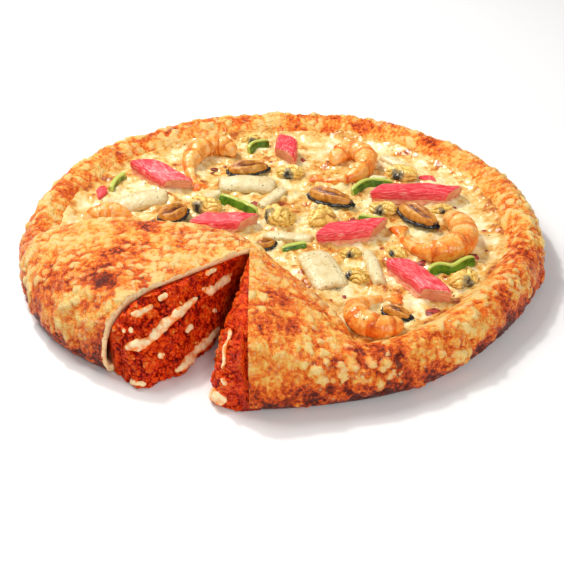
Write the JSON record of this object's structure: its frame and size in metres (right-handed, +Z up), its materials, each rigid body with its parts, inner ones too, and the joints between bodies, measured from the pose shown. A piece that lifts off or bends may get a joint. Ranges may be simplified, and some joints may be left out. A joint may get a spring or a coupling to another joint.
{
  "type": "pan pizza",
  "caption": "Round pan pizza with a raised craggy crust rim, seafood and pepper toppings on melted cheese, and a folded pocket of meat filling in front with a slice of the pocket cut out.",
  "frame": {"origin": "on the flat underside, below the centre of the round pizza", "axes": "+Z up, -Y towards the cut slice of the pocket, +X to the right as seen from the front"},
  "size_m": [0.3003, 0.2979, 0.0432],
  "materials": {
    "crust": "matte",
    "filling": "satin",
    "cheese": "satin",
    "shrimp": "satin",
    "mussel": "satin",
    "clam": "satin",
    "squid": "satin",
    "crab": "satin",
    "pepper": "gloss"
  },
  "bodies": {
    "root": {"dough": "crust", "meat_filling": "filling", "cheese_bed": "cheese", "shrimp_1": "shrimp", "shrimp_2": "shrimp", "shrimp_3": "shrimp", "shrimp_4": "shrimp", "shrimp_5": "shrimp", "mussel_1": "mussel", "mussel_2": "mussel", "mussel_3": "mussel", "mussel_4": "mussel", "mussel_5": "mussel", "mussel_6": "mussel", "clam_1": "clam", "clam_2": "clam", "clam_3": "clam", "clam_4": "clam", "clam_5": "clam", "clam_6": "clam", "clam_7": "clam", "clam_8": "clam", "clam_9": "clam", "clam_10": "clam", "clam_11": "clam", "clam_12": "clam", "squid_1": "squid", "squid_2": "squid", "squid_3": "squid", "squid_4": "squid", "squid_5": "squid", "squid_6": "squid", "squid_7": "squid", "squid_8": "squid", "squid_9": "squid", "crab_stick_1": "crab", "crab_stick_2": "crab", "crab_stick_3": "crab", "crab_stick_4": "crab", "crab_stick_5": "crab", "crab_stick_6": "crab", "crab_stick_7": "crab", "crab_stick_8": "crab", "pepper_1": "pepper", "pepper_2": "pepper", "pepper_3": "pepper", "pepper_4": "pepper", "pepper_5": "pepper", "pepper_6": "pepper", "pepper_7": "pepper"}
  },
  "joints": []
}
